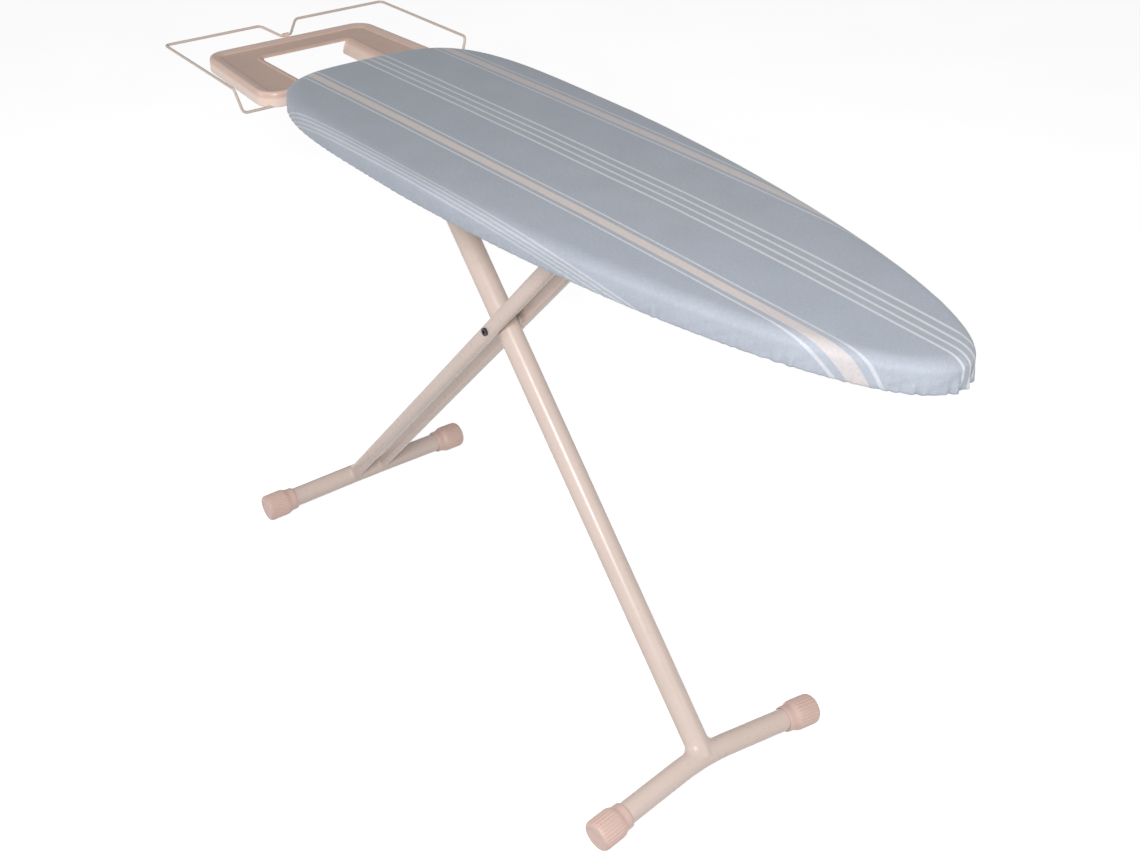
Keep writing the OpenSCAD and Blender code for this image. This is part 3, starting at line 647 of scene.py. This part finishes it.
def make_pad():
    """Felt pad: a thin crowned slab with a soft edge, closed all round."""
    turns = outline_turns(240)
    edge = around(turns, 0)
    n = len(edge)
    out = outward(turns)
    low = pad_low.z + 0.00005

    def level(margin):
        """The pad's top at a distance in from the cover's edge."""
        return TOP_Z - float(roll_drop(margin)) - PAD_BELOW

    rings = [np.column_stack([edge - out * margin, np.full(n, z)])
             for margin, z in ((0.0080, low), (0.0056, low), (0.0050, low + 0.0003))]
    rings += [np.column_stack([edge - out * margin, np.full(n, level(margin))])
              for margin in (0.0058, 0.0070, 0.0090, 0.0115)]
    verts = [p for r in rings for p in r]
    faces = grid_faces(len(rings), n)
    rows, middle = spine_rings(turns, 0.05, 6)
    margins = (0.016, 0.023, 0.034, 0.05)
    mids = [around(turns, margin) for margin in margins]
    height = [level(margin) for margin in margins]
    start = len(verts)
    for flat_ring, z in zip(mids, height):
        verts += [[x, y, z] for x, y in flat_ring]
    last = start - n
    faces += [(last + c, start + c, start + (c + 1) % n, last + (c + 1) % n) for c in range(n)]
    faces += grid_faces(len(mids), n, start)
    close_to_spine(verts, faces, rows, middle, height[-1], start + (len(mids) - 1) * n)
    close_to_spine(verts, faces, rows, middle, low, 0)
    obj = mesh_object("felt_pad", verts, faces, MATERIALS["felt"])
    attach(obj, "board")
    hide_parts("pad")


# ---------------------------------------------------------------- iron rest

# The tray: its corners, how much each side draws in at the far end, its window, its floor's level
# and thickness, and the guard wire's radius
TRAY_R = 0.034
TRAY_NARROW = 0.015
WINDOW_X = (tray_low.x + 0.066, tray_high.x - 0.030)
WINDOW_HALF = 0.082
WINDOW_R = 0.009
TRAY_FACE = TRAY_TOP - 0.004
TRAY_THICK = 0.003
WIRE_R = 0.00225


def tray_ring(margin, corner=9, straight=12):
    """The tray's outline drawn in by a margin."""
    x0, x1 = tray_low.x, tray_high.x
    tilt = math.atan(TRAY_NARROW / (x1 - x0))
    mid_y = tray_high.y - TRAY_NARROW - TRAY_R / math.cos(tilt)
    wide = [mid_y + (x - x0) * math.tan(tilt) for x in (x1 - TRAY_R, x0 + TRAY_R)]
    centres = [(x1 - TRAY_R, wide[0]), (x0 + TRAY_R, wide[1]),
               (x0 + TRAY_R, -wide[1]), (x1 - TRAY_R, -wide[0])]
    starts = [0, math.pi / 2 + tilt, math.pi, 3 * math.pi / 2 - tilt]
    ends = [math.pi / 2 + tilt, math.pi, 3 * math.pi / 2 - tilt, 2 * math.pi]
    return ring_of(centres, starts, ends, TRAY_R - margin, corner, straight)


def window_ring(grow, corner=9, straight=12):
    """The window's outline let out by a distance, matched point for point to tray_ring."""
    r = WINDOW_R
    x0, x1 = WINDOW_X[0] + r, WINDOW_X[1] - r
    y = WINDOW_HALF - r
    centres = [(x1, y), (x0, y), (x0, -y), (x1, -y)]
    starts = [0, math.pi / 2, math.pi, 3 * math.pi / 2]
    ends = [math.pi / 2, math.pi, 3 * math.pi / 2, 2 * math.pi]
    return ring_of(centres, starts, ends, r + grow, corner, straight)


def ring_of(centres, starts, ends, radius, corner, straight):
    """Points of four arcs joined by straight sides."""
    arcs = [[(cx + radius * math.cos(t), cy + radius * math.sin(t))
             for t in np.linspace(a, b, corner)]
            for (cx, cy), a, b in zip(centres, starts, ends)]
    points = []
    for i, arc in enumerate(arcs):
        points += arc
        p, q = arc[-1], arcs[(i + 1) % 4][0]
        points += [(p[0] + (q[0] - p[0]) * k / straight, p[1] + (q[1] - p[1]) * k / straight)
                   for k in range(1, straight)]
    return np.array(points)


def tray_level(margin, fall):
    """The tray's outline drawn in by a margin, at a fall below its top."""
    plan = tray_ring(margin)
    return np.column_stack([plan, np.full(len(plan), TRAY_TOP - fall)])


def make_tray():
    """Moulded tray: soft rim, stepped floor, beaded window with leaning side walls, open below."""
    drop = TRAY_TOP - tray_low.z
    outside = [(0.0009, drop - 0.0002), (0.0002, drop - 0.0012), (0.0, drop - 0.003), (0.0004, 0.0075),
               (0.0009, 0.0040), (0.0019, 0.0016), (0.0036, 0.0004), (0.0056, 0.0), (0.0085, 0.0003),
               (0.0130, 0.0012), (0.0175, 0.0022), (0.0190, 0.0026), (0.0197, 0.0033),
               (0.0206, 0.0038), (0.0225, 0.0040)]
    rings = [tray_level(margin, fall) for margin, fall in outside]

    def window(grow, fall, lean_share=0.0, wall=0.0):
        """A ring round the window; the long sides' walls fall further and lean inwards."""
        flat, plain_ring = window_ring(grow), window_ring(0)
        side = np.clip((np.abs(plain_ring[:, 1]) - WINDOW_HALF + 0.004) / 0.004, 0, 1)
        half = (WINDOW_X[1] - WINDOW_X[0]) / 2
        ends = np.abs(plain_ring[:, 0] - sum(WINDOW_X) / 2) > half - 0.002
        side = side * (1 - ends)
        y = flat[:, 1] - np.sign(flat[:, 1]) * 0.014 * lean_share * side
        z = TRAY_FACE - fall - wall * side
        return np.column_stack([flat[:, 0], y, z])

    inside = [(0.0130, 0.0), (0.0100, 0.0), (0.0088, -0.0003), (0.0076, -0.0011), (0.0062, -0.0013),
              (0.0048, -0.0011), (0.0036, -0.0003), (0.0022, 0.0), (0.0008, 0.0003), (0.0001, 0.0011)]
    rings += [window(g, d) for g, d in inside]
    rings += [window(0.0, 0.0018, s, 0.0182 * s) for s in (0.12, 0.35, 0.6, 0.85, 0.97)]
    rings += [window(0.0004, 0.0026, 1.0, 0.0174), window(0.0016, 0.0028, 1.0, 0.0172)]
    rings += [window(0.0022, 0.0022, s, 0.0172 * s) for s in (0.85, 0.5, 0.15)]
    rings += [window(0.0034, TRAY_THICK, 0.0), window(0.012, TRAY_THICK)]
    under = TRAY_TOP - TRAY_FACE + TRAY_THICK
    rings += [tray_level(margin, fall)
              for margin, fall in ((0.014, under), (0.0045, under), (0.0033, under + 0.0012),
                                   (0.0028, drop - 0.003), (0.0024, drop - 0.0004), (0.0018, drop))]
    verts = [p for r in rings for p in r]
    faces = grid_faces(len(rings), len(rings[0]), close_rows=True)
    bosses(verts, faces)
    obj = mesh_object("iron_rest_tray", verts, faces, MATERIALS["tray_plastic"])
    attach(obj, "board")
    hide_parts("iron_tray")


def bosses(verts, faces):
    """Screw bosses under the tray, as short hollow posts with a chamfered foot."""
    low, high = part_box("tray_screws")
    foot, top = tray_low.z, TRAY_FACE - TRAY_THICK + 0.0004
    profile = [(0.0022, foot + 0.0004), (0.0028, foot), (0.0050, foot), (0.0055, foot + 0.0006),
               (0.0055, top - 0.002), (0.0064, top), (0.0022, top)]
    sides = 28
    for x in (low.x + 0.004, high.x - 0.004):
        for y in (low.y + 0.004, high.y - 0.004):
            start = len(verts)
            for r, z in profile:
                verts += [[x + r * math.cos(a), y + r * math.sin(a), z]
                          for a in np.arange(sides) * 2 * math.pi / sides]
            faces += grid_faces(len(profile), sides, start, close_rows=True)


def make_rack():
    """Wire guard: one bent wire from under the tray, round the rest and down to a notch."""
    r = WIRE_R
    side_x = rack_high.x - r
    rear_x = rack_low.x + r
    run_z, rail_z = rack_low.z + r, rack_high.z - r
    wide = rack_high.y - r
    notch_z = TRAY_TOP + r + 0.0002
    half = [(side_x, -0.090, run_z, 0), (side_x, 0.011 - wide, run_z, 0.008),
            (side_x, -wide, rail_z, 0.008), (rear_x, 0.006 - wide, rail_z, 0.009),
            (rear_x, -0.034, rail_z, 0.007), (rear_x + 0.026, -0.009, notch_z, 0.0038)]
    corners = half + [(x, -y, z, back) for x, y, z, back in reversed(half)]
    verts, faces = sweep(filled_path(rounded_path(corners)), r)
    obj = mesh_object("rack_guard_wire", verts, faces, MATERIALS["rack_wire"])
    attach(obj, "board")
    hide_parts("wire_rack")


# ---------------------------------------------------------------- feet and welds

def leg_frame(which):
    """The matrix of a leg drawn downwards from its foot bar's middle, with +Z up the leg."""
    if which == "main":
        top, turn, bar = Vector((hinge.x, 0, AXLE_Z)), -LEG_TURN, "front_foot_bar"
    else:
        top, turn, bar = Vector((TWIN_AXLE_X, 0, AXLE_Z)), LEG_TURN, "rear_foot_bar"
    place = Matrix.Translation(top) @ Matrix.Rotation(turn, 4, "Y")
    bar_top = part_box(bar)[1].z
    reach = (top.z - bar_top + BAR_R) / math.cos(turn)
    return place @ Matrix.Translation((0, 0, -reach))


def bend_radius(slope):
    return BEND_HALF / math.sin(slope)


def arm_frame(slope, side):
    """From a foot bar's middle to the start of an arm, with +Z along it to the cap."""
    rb = bend_radius(slope)
    shift = Matrix.Translation((0, side * rb * math.sin(slope), -rb * (1 - math.cos(slope))))
    return shift @ Matrix.Rotation(-side * (math.pi / 2 + slope), 4, "X")


# A cap's ribs: how many there are, and how deep the grooves between them are
CAP_RIBS, CAP_NOTCH = 26, 0.00105
CAP_PROFILE = [
    # radius, place along the cap, depth of the ribs there
    (0.0176, 0.0240, 0), (0.0176, 0.0016, 0), (0.0179, 0.0004, 0), (0.0186, 0.0, 0),
    (0.0196, 0.0002, 0), (0.0203, 0.0009, 0), (0.0206, 0.0022, 0), (0.0207, 0.0060, 0),
    (0.0208, 0.0100, 0), (0.0209, 0.0118, 0), (0.0213, 0.0134, 0), (0.0222, 0.0152, 0.05),
    (0.0232, 0.0172, 0.25), (0.0240, 0.0195, 0.65), (0.0244, 0.0220, 0.95), (0.0245, 0.0250, 1.0),
    (0.0245, 0.0320, 1.0), (0.0245, 0.0400, 1.0), (0.0245, 0.0470, 1.0), (0.0245, 0.0505, 1.0),
    (0.0244, 0.0523, 0.9), (0.0241, 0.0541, 0.6), (0.0233, 0.0558, 0.25), (0.0221, 0.0571, 0.06),
    (0.0205, 0.0578, 0), (0.0185, 0.0580, 0), (0.0165, 0.0580, 0), (0.0157, 0.0578, 0),
    (0.0152, 0.0573, 0), (0.0145, 0.0571, 0), (0.0100, 0.0571, 0), (0.0040, 0.0571, 0),
]


def make_cap(name, node, body, which, slope, side):
    """Ribbed foot cap: plain collar, flare, ribbed body and a rounded end with a shallow dish."""
    count = CAP_RIBS * 10
    angle = np.arange(count) * 2 * math.pi / count
    notch = np.maximum(0, np.cos(angle * CAP_RIBS)) ** 1.3
    run = (FOOT_HALF - bend_radius(slope) * math.sin(slope)) / math.cos(slope)
    place = leg_frame(which) @ arm_frame(slope, side) @ Matrix.Translation((0, 0, run - CAP_L))
    verts = []
    for radius, z, depth in CAP_PROFILE:
        r = radius - CAP_NOTCH * depth * notch
        verts += [place @ Vector((q * math.cos(a), q * math.sin(a), z)) for q, a in zip(r, angle)]
    faces = grid_faces(len(CAP_PROFILE), count)
    tip = len(verts)
    verts.append(place @ Vector((0, 0, CAP_PROFILE[-1][1])))
    last = (len(CAP_PROFILE) - 1) * count
    faces += [(last + c, tip, last + (c + 1) % count) for c in range(count)]
    seat = len(verts)
    verts.append(place @ Vector((0, 0, CAP_PROFILE[0][1])))
    faces += [((c + 1) % count, seat, c) for c in range(count)]
    obj = mesh_object(name, verts, faces, MATERIALS["foot_plastic"])
    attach(obj, body)
    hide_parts(node)


def make_weld(name, body, which, slope, radius, flat, off):
    """Painted weld that blends a leg tube into its foot bar, as a closed skin."""
    rb = bend_radius(slope)
    sides, steps, deep, tuck = 96, 10, 0.0009, 0.00012
    size = 0.012 if radius > 0.012 else 0.0070

    def middle(y):
        """The bar's centre line at a place along it."""
        return Vector((0, y, math.sqrt(rb * rb - y * y) - rb))

    def bar_point(psi, y):
        """A place on the bar's outside, psi round it from the leg's side."""
        return middle(y) + Vector((BAR_R * math.sin(psi), 0, BAR_R * math.cos(psi)))

    place = leg_frame(which)
    verts = []
    for k in range(sides):
        a = 2 * math.pi * (k + 0.5) / sides
        nx, ny = math.cos(a), math.sin(a)
        x, y = radius * nx + math.copysign(flat, nx), off + radius * ny
        psi = math.asin(max(-1.0, min(1.0, x / BAR_R)))

        def beyond(h):
            return bar_point(psi + nx * h / BAR_R, y + ny * h)

        upper = Vector((x, y, beyond(0).z + size))
        lower = beyond(size)
        ahead = (lower - beyond(size - 0.0005)).normalized()
        p1 = upper - Vector((0, 0, 0.62 * size))
        p2 = lower - ahead * (0.62 * size)
        skin, core = [], []
        for i in range(steps + 1):
            t = i / steps
            p = (upper * (1 - t) ** 3 + p1 * (3 * t * (1 - t) ** 2)
                 + p2 * (3 * t * t * (1 - t)) + lower * t ** 3)
            to_leg = Vector((-p.x, off - p.y, 0)).normalized()
            to_bar = (middle(p.y) - p).normalized()
            inward = (to_leg * (1 - t) + to_bar * t).normalized()
            p = p + inward * (tuck if i in (0, steps) else 0)
            skin.append(p)
            core.append(p + inward * deep)
        verts += [place @ p for p in skin + core[::-1]]
    faces = grid_faces(sides, 2 * (steps + 1), close_rows=True)
    obj = mesh_object(name, verts, faces, MATERIALS["leg_paint"])
    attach(obj, body)


# ---------------------------------------------------------------- light, floor and camera

def soft_floor():
    """Pale matt floor with a little light of its own, like a lit white sweep."""
    n = Nodes("pale_floor")
    place = n.object_place()
    n.set(Base_Color=n.mix(n.map(n.noise(place, 3), 0.3, 0.7, 0, 1), tone(0.86, 0.86, 0.86),
                           tone(0.89, 0.89, 0.89)), Roughness=0.9, Specular_IOR_Level=0.0,
          Emission_Color=tone(1, 1, 1), Emission_Strength=0.62)
    return n.material


def make_stage():
    """A wide floor at the feet's level."""
    size, steps = 9.0, 12
    z = cad_box[0][2]
    axis = np.linspace(-size, size, steps + 1)
    verts = [(x, y, z) for y in axis for x in axis]
    faces = grid_faces(steps + 1, steps + 1, close_cols=False)
    floor = mesh_object("floor", verts, faces, soft_floor())
    floor.visible_diffuse = False


def area_light(name, place, aim, size, power):
    """A round white lamp of a width, at a place, turned to a point."""
    light = bpy.data.lights.new(name, "AREA")
    light.shape, light.size, light.energy = "DISK", size, power
    obj = bpy.data.objects.new(name, light)
    bpy.context.scene.collection.objects.link(obj)
    obj.location = place
    obj.rotation_euler = (Vector(aim) - Vector(place)).to_track_quat("-Z", "Y").to_euler()


def make_lights():
    """The main lamp near the eye, a weak one towards each end, and a white sky."""
    area_light("key", (1.50, -1.35, 1.85), (0.2, 0, 0.6), 0.5, 45)
    area_light("fill", (2.4, 0.6, 1.3), (0.2, 0, 0.6), 1.2, 7)
    area_light("tail", (-1.1, -1.9, 1.1), (-0.3, 0, 0.8), 0.9, 9)
    world = bpy.data.worlds.new("sky")
    world.use_nodes = True
    sky = world.node_tree.nodes["Background"]
    sky.inputs["Color"].default_value = (1, 1, 1, 1)
    sky.inputs["Strength"].default_value = 0.34
    bpy.context.scene.world = world


# The eye: its place, its heading and dip in degrees, and the lens on a 36 mm sensor
EYE = (1.5152, -1.098, 1.6147)
EYE_TURN, EYE_DIP = 142.558, -32.639
EYE_LENS = 45.39


def make_camera():
    """The eye above the nose's near side."""
    data = bpy.data.cameras.new("eye")
    data.sensor_width, data.lens = 36, EYE_LENS
    data.clip_end = 60
    cam = bpy.data.objects.new("eye", data)
    bpy.context.scene.collection.objects.link(cam)
    cam.location = EYE
    turn, dip = math.radians(EYE_TURN), math.radians(EYE_DIP)
    ahead = Vector((math.cos(dip) * math.cos(turn), math.cos(dip) * math.sin(turn), math.sin(dip)))
    cam.rotation_euler = ahead.to_track_quat("-Z", "Y").to_euler()
    bpy.context.scene.camera = cam
    bpy.context.scene.view_settings.view_transform = "Standard"


make_camera()
make_stage()
make_lights()
dress_cad_nodes()
make_pad()
make_cover()
make_tray()
make_rack()
for which, body, slope, front in (("main", "main_leg", FRONT_SLOPE, "front"),
                                  ("twin", "twin_leg", REAR_SLOPE, "rear")):
    for side, hand in ((-1, "left"), (1, "right")):
        make_cap(front + "_foot_cap_" + hand, front + "_cap_" + hand, body, which, slope, side)
make_weld("front_weld", "main_leg", "main", FRONT_SLOPE, 0.019, 0.0, 0.0)
for side, hand in ((-1, "left"), (1, "right")):
    make_weld("rear_weld_" + hand, "twin_leg", "twin", REAR_SLOPE, 0.009, 0.0035, side * 0.030)
